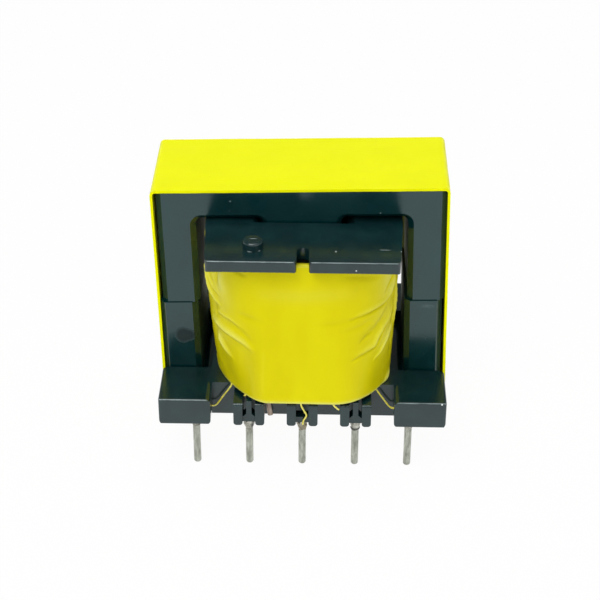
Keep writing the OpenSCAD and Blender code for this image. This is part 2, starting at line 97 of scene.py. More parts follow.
class Nodes:
    """Builds the nodes of a material or a world with few words."""

    def __init__(self, owner, output="ShaderNodeOutputMaterial"):
        self.owner = owner
        owner.use_nodes = True
        self.tree = owner.node_tree
        self.tree.nodes.clear()
        self.out = self.add(output)

    def add(self, kind, inputs=None, **attrs):
        node = self.tree.nodes.new(kind)
        for key, value in attrs.items():
            setattr(node, key, value)
        for key, value in (inputs or {}).items():
            self.put(node.inputs[key], value)
        return node

    def put(self, socket, value):
        """Links another node's output, or sets a number or a colour."""
        if isinstance(value, bpy.types.NodeSocket):
            self.tree.links.new(value, socket)
            return
        wide, many = hasattr(socket.default_value, "__len__"), hasattr(value, "__len__")
        if wide and not many:
            socket.default_value = [value] * len(socket.default_value)
        elif many and len(value) == 3 and len(socket.default_value) == 4:
            socket.default_value = (*value, 1)
        else:
            socket.default_value = value

    def place(self):
        """Position in millimetres, in the part's frame."""
        at = self.add("ShaderNodeTexCoord").outputs["Object"]
        return self.add("ShaderNodeVectorMath", {0: at, "Scale": 1 / MM}, operation="SCALE").outputs[0]

    def sideways(self):
        """How far the surface faces left or right, from 0 to 1."""
        normal = self.add("ShaderNodeTexCoord").outputs["Normal"]
        return self.math("ABSOLUTE", self.add("ShaderNodeSeparateXYZ", {0: normal}).outputs["X"])

    def attribute(self, name):
        return self.add("ShaderNodeAttribute", attribute_name=name, attribute_type="GEOMETRY").outputs["Fac"]

    def stretch(self, vector, scale):
        return self.add("ShaderNodeVectorMath", {0: vector, 1: scale}, operation="MULTIPLY").outputs[0]

    def noise(self, vector, scale, detail, rough=0.5):
        inputs = {"Vector": vector, "Scale": scale, "Detail": detail, "Roughness": rough}
        return self.add("ShaderNodeTexNoise", inputs).outputs["Fac"]

    def ramp(self, fac, *stops):
        """Greys between two stops, each a position and a grey."""
        node = self.add("ShaderNodeValToRGB", {"Fac": fac})
        for element, (position, grey) in zip(node.color_ramp.elements, stops):
            element.position, element.color = position, (grey, grey, grey, 1)
        return node.outputs["Color"]

    def math(self, operation, a, b=0.0, clamp=False):
        return self.add("ShaderNodeMath", {0: a, 1: b}, operation=operation, use_clamp=clamp).outputs[0]

    def most(self, *values):
        """The largest of several values."""
        largest = values[0]
        for value in values[1:]:
            largest = self.math("MAXIMUM", largest, value)
        return largest

    def remap(self, value, a, b, low=0.0, high=1.0):
        """Takes a to low and b to high, and stays between them."""
        inputs = {"Value": value, "From Min": a, "From Max": b, "To Min": low, "To Max": high}
        return self.add("ShaderNodeMapRange", inputs).outputs[0]

    def mix(self, fac, a, b):
        return self.add("ShaderNodeMix", {0: fac, 6: a, 7: b}, data_type="RGBA").outputs[2]

    def tint(self, colour, mask, share, other):
        """The colour, with a share of another one where the mask is 1."""
        return self.mix(self.math("MULTIPLY", mask, share), colour, other)

    def spots(self, place, places):
        """1 inside small round spots; each is x, y, z and radius."""
        masks = []
        for *centre, radius in places:
            node = self.add("ShaderNodeVectorMath", {0: place, 1: centre}, operation="DISTANCE")
            masks.append(self.remap(node.outputs["Value"], radius, radius * 0.7))
        return self.most(*masks)

    def patch(self, place, centre, size, soft):
        """1 inside an oval patch, which fades away over its outer part, soft."""
        off = self.add("ShaderNodeVectorMath", {0: place, 1: centre}, operation="SUBTRACT").outputs[0]
        off = self.add("ShaderNodeVectorMath", {0: off, 1: size}, operation="DIVIDE").outputs[0]
        far = self.add("ShaderNodeVectorMath", {0: off}, operation="LENGTH").outputs["Value"]
        return self.remap(far, 1.0, 1.0 - soft)

    def bump(self, height, distance):
        return self.add("ShaderNodeBump", {"Height": height, "Distance": distance * MM}).outputs[0]

    def surface(self, shader):
        self.tree.links.new(shader.outputs[0], self.out.inputs["Surface"])

    def principled(self, **inputs):
        """Ends a material; the names of the inputs have _ for a space."""
        inputs = {key.replace("_", " "): value for key, value in inputs.items()}
        self.surface(self.add("ShaderNodeBsdfPrincipled", inputs))
        return self.owner


def new_material(name):
    return Nodes(bpy.data.materials.new(name))


# ---- materials --------------------------------------------------------------------------------

# Small marks that stay on the surface. A spot is x, y, z and radius; a patch is a centre and half sizes.
DUST = [
    (2.9, -10.35, 20.6, 0.08), (8.7, -10.2, 20.6, 0.08), (4.7, -12.3, 19.8, 0.07), (13.0, -10.8, 4.55, 0.1),
]
CORE_DUST = [
    (-6.7, -5.1, 22.6, 0.08), (-6.8, -5.1, 21.6, 0.07), (-5.4, -5.1, 21.8, 0.06), (6.9, -5.1, 21.6, 0.08),
]
TAPE_SPECKS = [
    (-7.4, 3.0, 23.9, 0.12), (-7.0, 2.1, 23.9, 0.09), (-6.6, 1.3, 23.9, 0.07), (-10.9, 3.9, 23.8, 0.09),
    (-7.8, -4.9, 23.9, 0.10), (1.4, -0.3, 24.1, 0.09), (5.3, -4.9, 24.1, 0.08),
]
DARK_PATCHES = [((-11.4, -5.16, 8.2), (0.85, 1.0, 0.95)), ((-10.95, -5.16, 8.2), (0.8, 1.0, 0.72))]
SMUDGE = (11.6, -5.16, 11.8), (0.9, 1.0, 0.3)
SCRATCH = (7.25, -9.95, 20.6), (0.6, 0.08, 0.3)
# Painted highlights on the button: two on its lower rim and one near its top
BUTTON_GLINTS = [
    ((-4.78, -10.66, 20.63), (0.36, 0.16, 0.05)), ((-3.82, -10.48, 20.63), (0.18, 0.14, 0.05)),
    ((-4.42, -9.62, 21.38), (0.40, 0.06, 0.08)),
]
# Painted highlights along the front top edges of the corner blocks and of the upper flange, paler than the
# rest; they run along x
EDGE_HIGHLIGHTS = [(0, -10.8, 4.65, 0.09), (0, -12.3, 20.59, 0.10)]


def ferrite_material():
    n = new_material("ferrite")
    p = n.place()
    cloud = n.noise(p, 0.30, detail=3)
    grain = n.noise(p, 9.0, detail=4, rough=0.6)
    pits = n.noise(p, 3.2, detail=2, rough=0.7)
    sides_painted_lighter = n.remap(n.sideways(), 0.75, 0.95)
    dark = n.most(*[n.patch(p, *place, soft=0.35) for place in DARK_PATCHES])
    smudge = n.math("MULTIPLY", n.patch(p, *SMUDGE, soft=0.8), n.remap(grain, 0.35, 0.6))
    col = n.mix(n.remap(cloud, 0.35, 0.65), (0.0, 0.019, 0.021), (0.002, 0.028, 0.030))
    col = n.mix(n.remap(pits, 0.66, 0.74, 0, 0.5), col, (0.02, 0.045, 0.05))
    col = n.mix(n.spots(p, CORE_DUST), col, (0.7, 0.73, 0.73))
    col = n.tint(col, dark, 0.85, (0.0, 0.006, 0.008))
    col = n.tint(col, smudge, 0.5, (0.10, 0.13, 0.14))
    # Painted light: faces turned left or right are made a lighter teal
    col = n.tint(col, sides_painted_lighter, 0.8, (0.012, 0.050, 0.055))
    rough = n.math("ADD", n.remap(grain, 0.3, 0.7, 0.12, 0.20), n.remap(cloud, 0.4, 0.7, 0, 0.06))
    rough = n.math("ADD", rough, n.math("MULTIPLY", sides_painted_lighter, 0.4))
    rough = n.math("ADD", rough, n.math("MULTIPLY", dark, 0.7), clamp=True)
    return n.principled(Base_Color=col, Roughness=rough, IOR=1.68, Specular_Tint=(0.84, 1.0, 1.0),
                        Normal=n.bump(grain, 0.004))


def phenolic_material():
    n = new_material("phenolic")
    p = n.place()
    cloud = n.noise(p, 0.5, detail=2)
    flow = n.noise(n.stretch(p, (0.5, 0.5, 2.0)), 1.3, detail=3, rough=0.6)
    fleck = n.noise(p, 7.0, detail=2)
    dust = n.spots(p, DUST)
    scratch = n.math("MULTIPLY", n.patch(p, *SCRATCH, soft=0.5), n.remap(fleck, 0.35, 0.6))
    glints = [n.patch(p, *place, soft=0.6) for place in BUTTON_GLINTS]
    edges = n.spots(n.stretch(p, (0, 1, 1)), EDGE_HIGHLIGHTS)
    col = n.mix(n.remap(cloud, 0.35, 0.65), (0.003, 0.019, 0.021), (0.005, 0.027, 0.029))
    col = n.mix(n.remap(fleck, 0.72, 0.78, 0, 0.3), col, (0.05, 0.07, 0.07))
    col = n.mix(dust, col, (0.75, 0.78, 0.78))
    # A real pale scratch, and painted highlights on the button in the same colour
    col = n.tint(col, n.most(scratch, *glints), 0.7, (0.45, 0.52, 0.52))
    # Painted highlights along the front top edges of the blocks and the flange
    col = n.tint(col, edges, n.remap(flow, 0.35, 0.6, 0.15, 0.6), (0.28, 0.36, 0.36))
    rough = n.math("ADD", n.remap(flow, 0.3, 0.7, 0.17, 0.27), n.math("MULTIPLY", dust, 0.5))
    return n.principled(Base_Color=col, Roughness=rough, IOR=1.62, Specular_Tint=(0.98, 1.0, 1.0),
                        Normal=n.bump(flow, 0.008))


def tape_material():
    n = new_material("yellow_tape")
    p = n.place()
    cloud = n.noise(p, 0.25, detail=2)
    fine = n.noise(n.stretch(p, (0.4, 1.6, 0.4)), 2.0, detail=3)
    grime = n.noise(p, 1.4, detail=4, rough=0.7)
    col = n.mix(n.remap(cloud, 0.3, 0.7), (0.89, 0.91, 0.0), (0.92, 0.94, 0.001))
    col = n.mix(n.remap(grime, 0.62, 0.8, 0, 0.25), col, (0.70, 0.66, 0.01))
    # Painted shade: faces turned left or right are made a darker olive
    col = n.tint(col, n.remap(n.sideways(), 0.5, 0.95), 0.3, (0.50, 0.47, 0.01))
    col = n.tint(col, n.spots(p, TAPE_SPECKS), 0.7, (0.35, 0.36, 0.02))
    return n.principled(Base_Color=col, Roughness=n.remap(fine, 0.3, 0.7, 0.30, 0.44), IOR=1.5,
                        Specular_IOR_Level=0.15, Specular_Tint=(1.0, 1.0, 0.2), Normal=n.bump(fine, 0.010))


def wrap_material():
    """The wrap's mesh says where painted highlights go, on folds and rims, and where painted shade goes,
    beside them.
    """
    n = new_material("yellow_wrap")
    p = n.place()
    cloud = n.noise(n.stretch(p, (1, 1, 0.4)), 0.3, detail=3)
    fine = n.noise(n.stretch(p, (0.5, 0.5, 1.8)), 1.6, detail=3)
    # The wrap's yellow is darker than the core tape's: painted shade for its upright faces
    col = n.mix(n.remap(cloud, 0.3, 0.7), (0.71, 0.63, 0.0), (0.77, 0.70, 0.001))
    # Painted highlights where pale is set, and painted shade where shade is set
    col = n.tint(col, n.attribute("pale"), 0.9, (0.80, 0.80, 0.16))
    col = n.tint(col, n.attribute("shade"), 0.8, (0.50, 0.45, 0.0))
    return n.principled(Base_Color=col, Roughness=n.remap(fine, 0.3, 0.7, 0.30, 0.42), IOR=1.5,
                        Specular_IOR_Level=0.3, Specular_Tint=(1.0, 1.0, 0.25), Normal=n.bump(fine, 0.012))


def tinned_material(name, dark, light, smooth, rough):
    """Drawn metal with streaks along Z and darker blots."""
    n = new_material(name)
    p = n.place()
    streak = n.noise(n.stretch(p, (1, 1, 0.25)), 3.5, detail=4, rough=0.6)
    blot = n.noise(p, 1.2, detail=3)
    col = n.mix(n.remap(streak, 0.3, 0.7), dark, light)
    col = n.mix(n.remap(blot, 0.55, 0.75, 0, 0.5), col, [c * 0.55 for c in dark])
    return n.principled(Base_Color=col, Metallic=1.0, Roughness=n.remap(blot, 0.3, 0.7, smooth, rough),
                        Normal=n.bump(streak, 0.01))


def solder_material():
    """Dull solder: the bead on the middle pin is browned; the right bead has a painted shadow ring under its
    lower rim, and the left bead a darker side.
    """
    n = new_material("solder")
    p = n.place()
    blot = n.noise(p, 2.2, detail=4, rough=0.6)
    warm = n.patch(p, (0.0, -10.0, 1.5), (0.8, 0.8, 0.8), soft=0.4)
    # Painted shadow under the lower rim of the right bead
    ring = n.patch(p, (5.0, -10.2, 1.28), (0.9, 0.9, 0.17), soft=0.5)
    side = n.patch(p, (-4.62, -10.2, 1.55), (0.28, 0.6, 0.6), soft=0.5)
    col = n.mix(n.remap(blot, 0.35, 0.65), (0.16, 0.16, 0.13), (0.55, 0.55, 0.49))
    col = n.tint(col, warm, 0.75, (0.20, 0.15, 0.06))
    # Dark colour for the painted shadow ring and for the darker side
    col = n.tint(col, n.most(ring, side), 0.85, (0.05, 0.055, 0.05))
    return n.principled(Base_Color=col, Metallic=1.0, Roughness=n.remap(blot, 0.3, 0.7, 0.2, 0.36),
                        Normal=n.bump(blot, 0.02))


def enamel_material():
    n = new_material("enamelled_wire")
    blot = n.noise(n.place(), 1.5, detail=3)
    col = n.mix(n.remap(blot, 0.35, 0.65), (0.80, 0.70, 0.06), (0.90, 0.84, 0.2))
    return n.principled(Base_Color=col, Metallic=0.1, Roughness=n.remap(blot, 0.3, 0.7, 0.25, 0.4), IOR=1.5,
                        Normal=n.bump(blot, 0.01))


def copper_material():
    """Turns of wire, with painted shade at their top end, which lies under the flange's notches."""
    n = new_material("copper_wire")
    p = n.place()
    wave = {"Vector": p, "Scale": 1.6, "Distortion": 0.6, "Detail": 1.0}
    turns = n.add("ShaderNodeTexWave", wave, bands_direction="Z").outputs["Fac"]
    end = n.remap(n.add("ShaderNodeSeparateXYZ", {0: p}).outputs["Z"], 19.2, 19.3)
    col = n.mix(turns, (0.35, 0.13, 0.05), (0.62, 0.28, 0.12))
    # Painted shade at the top end, under the flange's notches
    col = n.mix(end, col, (0.02, 0.015, 0.01))
    return n.principled(Base_Color=col, Metallic=0.9, Roughness=n.remap(turns, 0, 1, 0.45, 0.3),
                        Normal=n.bump(turns, 0.08))


mats = {
    "ferrite": ferrite_material(),
    "phenolic": phenolic_material(),
    "yellow_tape": tape_material(),
    "yellow_wrap": wrap_material(),
    "tinned_steel": tinned_material("tinned_steel", (0.25, 0.26, 0.215), (0.53, 0.55, 0.48), 0.26, 0.38),
    "solder": solder_material(),
    "tinned_tail": tinned_material("tinned_tail", (0.24, 0.18, 0.14), (0.50, 0.43, 0.36), 0.35, 0.45),
    "enamelled_wire": enamel_material(),
    "copper_wire": copper_material(),
}
slot_of = {sub["node"]: sub["material_slot"] for sub in frame["record"]["subparts"]}
for name, obj in nodes.items():
    for slot in obj.material_slots:
        slot.material = mats[slot_of[name]]


# ---- helpers for the pieces that replace CAD nodes ----------------------------------------------

def stand_for(name, mesh, node):
    """New object that rides on the part and stands for a CAD node."""
    obj = bpy.data.objects.new(name, mesh)
    bpy.context.collection.objects.link(obj)
    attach(obj, "root")
    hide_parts(node)


def make_mesh(name, points, faces, node):
    """Smooth mesh with the material of a CAD node."""
    mesh = bpy.data.meshes.new(name)
    mesh.from_pydata([tuple(c * MM for c in point) for point in points], [], faces)
    bm = bmesh.new()
    bm.from_mesh(mesh)
    bmesh.ops.recalc_face_normals(bm, faces=bm.faces)
    bm.to_mesh(mesh)
    bm.free()
    mesh.polygons.foreach_set("use_smooth", [True] * len(mesh.polygons))
    mesh.materials.append(mats[slot_of[node]])
    return mesh


def ring_quads(n, a, b):
    """Quads between ring a and ring b, where each ring has n points."""
    return [(a * n + i, a * n + (i + 1) % n, b * n + (i + 1) % n, b * n + i) for i in range(n)]


def tube_quads(n, rings):
    return [quad for k in range(rings - 1) for quad in ring_quads(n, k, k + 1)]


def end_faces(n, rings):
    """The two faces that close a tube's ends."""
    return [tuple(range(n)), tuple(range((rings - 1) * n, rings * n))]


def step_up(value, start, length):
    """0 before the start, and 1 from the length on."""
    return ((value - start) / length).clip(0, 1)


def bell(value, middle, width):
    return np.exp(-((value - middle) / width) ** 2)


# ---- winding wrap -------------------------------------------------------------------------------

# Half widths on the left and right, half depth, and squareness of the corners on the left and right, where 2
# is round
FOOT = (8.3, 8.3, 11.3, 1.45, 1.85)
HEAD = (9.4, 8.9, 10.9, 2.3, 2.3)
# Half lengths of the flat stretches at the front and on the sides
FLAT_LEFT, FLAT_RIGHT, FLAT_SIDE = 3.3, 3.0, 4.5
CORNER_STEPS = 160
WRAP_STEPS, WRAP_ROWS = 640, 120
WRAP_T = 0.3
# The top row is lifted a little, and the tape's edge is folded in from there, over the end of the winding
HEAD_LIFT, LIP_IN, LIP_T = 0.02, 0.5, 0.012

# Creases: a route along the surface, measured from the middle of the front and up, then half width, height
# and paleness, which is a painted highlight above 0 and painted shade below 0; entries of no height are
# painted light only
CREASES = [
    ([(-11.3, 17.6), (-10.9, 15.6), (-10.2, 14.6), (-9.2, 14.2), (-8.3, 13.9)], 0.16, 0.11, 0.9),
    ([(-10.9, 17.2), (-10.5, 15.9), (-9.6, 15.2), (-8.6, 14.8)], 0.15, -0.10, -0.3),
    ([(-10.6, 17.6), (-10.1, 16.2), (-9.3, 15.5), (-8.3, 15.1)], 0.16, 0.07, 0.6),
    ([(-10.4, 11.2), (-9.2, 11.4), (-8.0, 11.4), (-6.7, 11.3), (-5.5, 11.0), (-4.6, 10.5)], 0.32, 0.13, 0.8),
    ([(-9.4, 12.3), (-8.0, 12.4), (-6.9, 12.4), (-5.9, 12.0), (-5.0, 11.5)], 0.36, -0.09, -0.25),
    ([(-8.9, 12.9), (-8.0, 13.0), (-6.9, 13.0), (-5.9, 12.6)], 0.16, 0.06, 0.5),
    ([(-9.2, 13.6), (-9.3, 13.1), (-9.4, 12.5)], 0.34, -0.08, -0.9),
    ([(-9.3, 9.9), (-8.9, 9.5), (-8.3, 9.0), (-7.4, 8.5)], 0.36, 0.11, 0.9),
    ([(-8.5, 17.5), (-8.7, 16.0)], 0.28, -0.07, -0.4),
    ([(-7.7, 18.6), (-7.9, 17.0), (-8.0, 16.2)], 0.34, 0.06, 0.5),
    ([(-6.4, 18.5), (-5.7, 18.3), (-5.1, 18.1)], 0.16, -0.05, -0.9),
    ([(-5.9, 13.9), (-5.0, 13.8), (-4.0, 13.6)], 0.30, -0.04, -0.3),
    ([(-9.8, 13.9), (-9.9, 11.9), (-9.9, 9.4), (-9.6, 7.4)], 0.5, -0.05, 0.0),
    ([(9.8, 15.0), (8.9, 14.6), (8.1, 14.3), (7.1, 14.2), (6.1, 14.0), (5.2, 13.9), (4.4, 13.7)],
     0.13, -0.09, -0.8),
    ([(9.8, 15.3), (8.9, 15.0), (8.1, 14.7), (7.1, 14.6), (6.1, 14.4), (5.2, 14.2)], 0.28, 0.07, 0.35),
    ([(10.3, 13.3), (9.7, 12.5), (9.2, 11.8), (8.2, 11.3), (7.8, 10.7), (7.5, 10.2), (7.0, 9.9), (6.3, 9.8),
      (5.5, 9.6), (4.7, 9.3)], 0.14, -0.10, -0.8),
    ([(9.7, 12.9), (9.0, 12.2), (8.1, 11.8), (7.4, 11.1), (7.0, 10.3), (6.2, 10.2), (5.4, 9.9)],
     0.30, 0.09, 0.45),
    ([(8.6, 13.4), (7.7, 12.6), (6.9, 12.1), (5.7, 11.5)], 0.34, -0.06, -0.35),
    ([(10.2, 11.2), (9.4, 10.4), (8.5, 9.7), (8.0, 9.1), (7.2, 8.7)], 0.14, 0.09, 0.8),
    ([(6.6, 11.8), (6.1, 11.6), (5.3, 11.1)], 0.12, -0.05, -0.5),
    ([(9.6, 16.9), (9.0, 16.3), (8.3, 15.7)], 0.20, -0.09, -0.6),
    ([(9.9, 16.5), (9.5, 15.8), (9.0, 15.2)], 0.22, 0.08, 0.5),
    ([(4.1, 18.3), (5.3, 18.1), (6.8, 17.8)], 0.30, -0.05, -0.35),
    ([(10.6, 15.2), (10.9, 13.0), (10.9, 10.6)], 0.22, 0.09, 0.5),
    ([(10.3, 11.8), (10.6, 9.6), (10.4, 7.8)], 0.34, -0.09, -0.6),
    ([(-4.6, 11.2), (-4.5, 8.2), (-4.6, 4.8)], 0.7, 0.04, -0.35),
    ([(-3.6, 10.4), (-3.7, 7.6), (-3.7, 5.2)], 0.22, 0.02, 0.12),
    ([(-8.7, 8.3), (-8.4, 6.8), (-7.4, 5.6)], 0.9, -0.03, -0.35),
    ([(7.7, 8.2), (7.6, 6.8), (7.2, 5.4)], 0.7, -0.02, -0.3),
    ([(-8.5, 17.6), (-8.2, 16.2), (-7.6, 15.2)], 0.9, 0.0, 0.5),
    ([(8.4, 17.6), (8.8, 16.0), (8.9, 15.2)], 0.8, 0.0, 0.5),
    ([(-7.9, 8.6), (-7.2, 6.6), (-5.9, 5.2)], 1.3, -0.01, -0.35),
    ([(8.9, 8.2), (8.3, 6.4), (7.1, 5.2)], 1.1, -0.01, -0.35),
    ([(-9.6, 12.0), (-9.3, 10.6), (-9.2, 9.0)], 0.8, 0.0, 0.3),
    ([(9.4, 11.4), (9.0, 10.0), (8.6, 9.0)], 0.6, 0.0, 0.3),
    ([(9.3, 4.7), (9.9, 4.9), (10.4, 5.2), (10.7, 5.4)], 0.22, 0.10, 0.9),
    ([(4.4, 13.7), (2.8, 13.4), (1.4, 13.3)], 0.25, -0.02, -0.2),
    ([(4.0, 12.6), (5.4, 12.9), (6.6, 13.4)], 0.25, -0.03, -0.2),
    ([(-3.6, 16.4), (0.0, 16.2), (4.5, 16.6)], 0.7, 0.01, 0.12),
]
CREASE_RISE = 2.3  # the heights above are multiplied by this
# A crease swells and dies away along its route as this stretch of half a sine wave does, to this power
FADE_START, FADE_SPAN, FADE_POWER = 0.12, 0.8, 0.7

# Soft waves everywhere, ripples at the back and on the sides, and a rim that is drawn in at the foot
WAVE_RISE, RIPPLE_RISE, WRAP_SINK = 0.05, 0.05, 0.03
BACK_FROM, BACK_OVER = 15, 3
SIDE_AT, SIDE_WIDTH = 11, 2.2
RIM_SINK, RIM_WIDTH = 0.03, 0.10
# All of that dies away in a short height under the flange
TOP_OVER, TOP_PAST = 0.25, 0.05
# The head is drawn in on the left, beside the flange: by how much, and from which height and distance out
DRAWN_IN = 0.45
DRAWN_FROM, DRAWN_OVER = 16.4, 2.0
DRAWN_OUT, DRAWN_OUT_OVER = 7.6, 1.2
# Painted highlights along the rims of the tape: strength, distance from the foot or the head, and width
FOOT_RIM_HIGHLIGHT, HEAD_RIM_HIGHLIGHT = (1.3, 0.0, 0.20), (0.5, 0.05, 0.09)


def coil_half(side, t):
    """Plan of one half of the coil, from the middle of its front to the middle of its back."""
    half_l, half_r, depth, square_l, square_r = (a + (b - a) * t for a, b in zip(FOOT, HEAD))
    turn = np.linspace(math.pi / 2, 0, CORNER_STEPS)
    cos, sin = np.cos(turn).clip(0), np.sin(turn).clip(0)

    def corner(half, flat, square):
        power = 2 / square
        return flat + (half - flat) * cos ** power, FLAT_SIDE + (depth - FLAT_SIDE) * sin ** power

    x, y = corner(half_l, FLAT_LEFT, square_l) if side < 0 else corner(half_r, FLAT_RIGHT, square_r)
    back_x, back_y = corner(half_l if side < 0 else half_r, FLAT_RIGHT, square_r)
    return (side * np.concatenate([[0], x, back_x[::-1], [0]]),
            np.concatenate([[-depth], -y, back_y[::-1], [depth]]))


def coil_ring(t):
    """One ring of evenly spaced points: x, y and distance along it from the middle of the front."""
    halves = []
    for side in (1, -1):
        x, y = coil_half(side, t)
        along = np.concatenate([[0], np.cumsum(np.hypot(np.diff(x), np.diff(y)))])
        at = np.linspace(0, along[-1], WRAP_STEPS // 2 + 1)
        halves.append(np.stack([np.interp(at, along, x), np.interp(at, along, y), side * at], 1))
    right, left = halves
    return np.concatenate([right[:-1], left[:0:-1]])


def crease_field(s, z):
    """Height, and paleness for painted highlights and painted shade, that the creases give at a distance
    along the ring and a level.
    """
    height, pale = np.zeros_like(s), np.zeros_like(s)
    for route, width, rise, tint in CREASES:
        near, along = np.full(s.shape, np.inf), np.zeros_like(s)
        legs = len(route) - 1
        for k in range(legs):
            (s0, z0), (s1, z1) = route[k], route[k + 1]
            ds, dz = s1 - s0, z1 - z0
            part = (((s - s0) * ds + (z - z0) * dz) / (ds * ds + dz * dz)).clip(0, 1)
            far = np.hypot(s - s0 - part * ds, z - z0 - part * dz)
            along = np.where(far < near, (k + part) / legs, along)
            near = np.minimum(near, far)
        line = bell(near, 0, width) * np.sin(np.pi * (FADE_START + FADE_SPAN * along)).clip(0) ** FADE_POWER
        height += CREASE_RISE * rise * line
        pale += tint * line
    return height, pale


def noise_field(place_of, s, z):
    """Noise at the place that each pair of s and z is taken to."""
    return np.array([[noise.noise(Vector(place_of(a, b))) for a, b in zip(*row)] for row in zip(s, z)])


def make_wrap():
    low, high = (corner.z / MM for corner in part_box("winding_wrap"))
    levels = np.linspace(0, 1, WRAP_ROWS + 1)
    x, y, s = np.moveaxis(np.array([coil_ring(t) for t in levels]), 2, 0)
    z = np.repeat((low + (high - low) * levels)[:, None], WRAP_STEPS, 1)
    along_x, along_y = (np.roll(c, -1, 1) - np.roll(c, 1, 1) for c in (x, y))
    size = np.hypot(along_x, along_y)
    out_x, out_y = along_y / size, -along_x / size

    height, pale = crease_field(s, z)
    around = np.abs(s)
    wave = noise_field(lambda a, b: (a * 0.16, b * 0.16, 3.7), s, z)
    ripple = (1 - np.abs(noise_field(lambda a, b: (a * 0.5 + b * 0.35, b * 0.9, 9.1), s, z))) ** 4
    ripple *= step_up(around, BACK_FROM, BACK_OVER) + bell(around, SIDE_AT, SIDE_WIDTH)
    height += WAVE_RISE * wave + RIPPLE_RISE * ripple - WRAP_SINK - RIM_SINK * bell(z, low, RIM_WIDTH)
    height *= step_up(high - z, -TOP_PAST, TOP_OVER)
    drawn = step_up(z, DRAWN_FROM, DRAWN_OVER)
    height -= DRAWN_IN * drawn ** 2 * (3 - 2 * drawn) * step_up(-x, DRAWN_OUT, DRAWN_OUT_OVER)

    z[-1] += HEAD_LIFT
    points = list(zip((x + out_x * height).ravel(), (y + out_y * height).ravel(), z.ravel()))
    inner_rings = ((-1, LIP_IN, 0), (-1, LIP_IN, LIP_T), (-1, WRAP_T, LIP_T), (0, WRAP_T, 0))
    for row, inset, drop in inner_rings:
        points += list(zip(x[row] - out_x[row] * inset, y[row] - out_y[row] * inset, z[row] - drop))
    rings = WRAP_ROWS + 1 + len(inner_rings)
    faces = tube_quads(WRAP_STEPS, rings) + ring_quads(WRAP_STEPS, rings - 1, 0)
    mesh = make_mesh("wrap_tape", points, faces, "winding_wrap")

    # Painted highlights along the rims at the foot and the head
    for (strength, *rim), up in ((FOOT_RIM_HIGHLIGHT, z - low), (HEAD_RIM_HIGHLIGHT, high - z)):
        pale += strength * bell(up, *rim)
    pale = np.concatenate([pale.ravel(), np.zeros(len(inner_rings) * WRAP_STEPS)])
    # The pale attribute holds painted highlights, and shade holds painted shade
    for key, value in (("pale", pale), ("shade", -pale)):
        attribute = mesh.attributes.new(key, "FLOAT", "POINT")
        attribute.data.foreach_set("value", value.clip(0, 1).astype(np.float32))
    stand_for("wrap_tape", mesh, "winding_wrap")


make_wrap()


# ---- core and its tape --------------------------------------------------------------------------

CORE_W, HALF_H, LEG_W, CORE_BEVEL = 26.4, 11.5, 3.5, 0.5
HALF_SHIFT = 0.25  # sideways, between the halves
SEAT = 0.01
# The core leans to the left about its middle, given as x and z
CORE_AT, CORE_LEAN = (-0.15, 12.1), math.radians(1.4)
COS, SIN = math.cos(CORE_LEAN), math.sin(CORE_LEAN)

BAND_T, BAND_R, BAND_LEAST_R = 0.25, 0.5, 0.05
BAND_HALF = (CORE_W / 2 + HALF_SHIFT / 2 + BAND_T + SEAT, HALF_H + BAND_T + SEAT)
BAND_FRONT, BAND_BACK, BAND_ROWS = -5.02, 5.42, 30
BAND_STEPS = (90, 76)  # along the top and bottom, and along the sides
BAND_ARC = 9           # points round a corner
BAND_DENT, BAND_REACH = 0.012, 13


def band_outline(inset):
    """Points round the band; the inset is measured from its outer face."""
    r = max(BAND_R - inset, BAND_LEAST_R)
    x, z = (half - inset - r for half in BAND_HALF)
    arcs = []
    for k, (centre_x, centre_z) in enumerate(((x, z), (-x, z), (-x, -z), (x, -z))):
        turn = np.radians(90 * k + np.linspace(0, 90, BAND_ARC))
        arcs.append(np.stack([centre_x + r * np.cos(turn), centre_z + r * np.sin(turn)], 1))
    outline = []
    for k, arc in enumerate(arcs):
        run = np.linspace(arc[-1], arcs[(k + 1) % 4][0], BAND_STEPS[k % 2] + 1)
        outline += [*arc, *run[1:-1]]
    return outline


def band_edge(x, z, seed):
    """Waves and fraying of an edge of the band."""
    wave = noise.noise(Vector((x * 0.22, z * 0.22, seed)))
    fray = noise.noise(Vector((x * 0.9, z * 0.9, seed)))
    return 0.05 * wave + 0.012 * fray


def make_band():
    outer, inner = band_outline(0), band_outline(BAND_T)
    n, rings = len(outer), 2 * (BAND_ROWS + 1)
    points = []
    for outline, rows in ((outer, range(BAND_ROWS + 1)), (inner, range(BAND_ROWS, -1, -1))):
        for row in rows:
            for x, z in outline:
                front, back = BAND_FRONT + band_edge(x, z, 2.5), BAND_BACK + band_edge(x, z, 8.5)
                y = front + (back - front) * row / BAND_ROWS
                dent = noise.noise(Vector((x * 0.3, y * 0.5, z * 0.3))) - 1 if outline is outer else 0
                scale = 1 + BAND_DENT / BAND_REACH * dent
                side, up = x * scale, z * scale
                points.append((side * COS - up * SIN + CORE_AT[0], y, side * SIN + up * COS + CORE_AT[1]))
    faces = tube_quads(n, rings) + ring_quads(n, rings - 1, 0)
    mesh = make_mesh("core_tape_band", points, faces, "core_tape")
    rims = {0, BAND_ROWS, BAND_ROWS + 1, rings - 1}

    def on_rim(a, b):
        return a // n in rims and b // n in rims and abs(a - b) in (1, n - 1)

    sharp = mesh.attributes.new("sharp_edge", "BOOLEAN", "EDGE")
    sharp.data.foreach_set("value", [on_rim(*edge.vertices) for edge in mesh.edges])
    stand_for("core_tape_band", mesh, "core_tape")


make_band()


